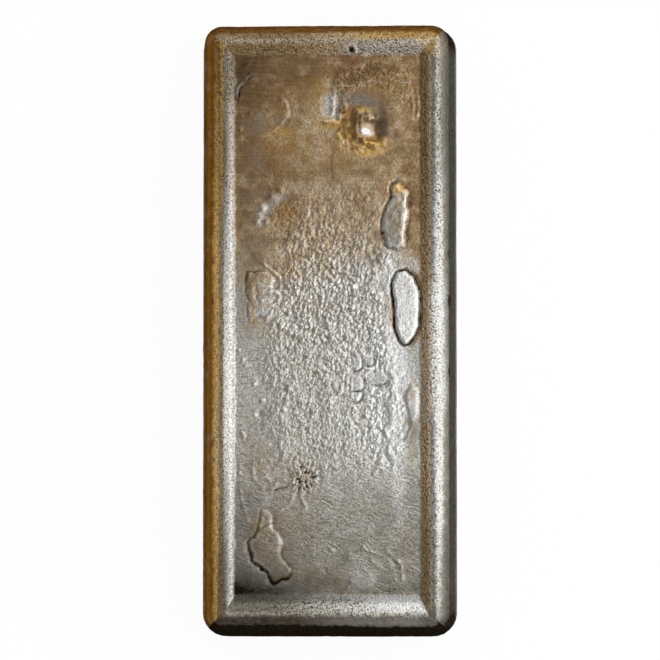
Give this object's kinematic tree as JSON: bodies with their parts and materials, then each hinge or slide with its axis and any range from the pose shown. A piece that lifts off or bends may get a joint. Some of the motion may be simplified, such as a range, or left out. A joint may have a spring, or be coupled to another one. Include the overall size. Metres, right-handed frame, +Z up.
{
  "type": "metal ingot",
  "caption": "Cast metal bar with drafted sides, a rolled rim round a sunk pan, and cold laps, a blow-hole and knocks in its tarnished skin.",
  "frame": {"origin": "on the floor, under the middle of the bar's bounding box", "axes": "+Y along the bar towards the end with the blow-hole, +X across it, +Z up out of the pan"},
  "size_m": [0.05, 0.12, 0.018],
  "materials": {
    "cast_metal": "satin"
  },
  "bodies": {
    "root": {"ingot": "cast_metal"}
  },
  "joints": []
}
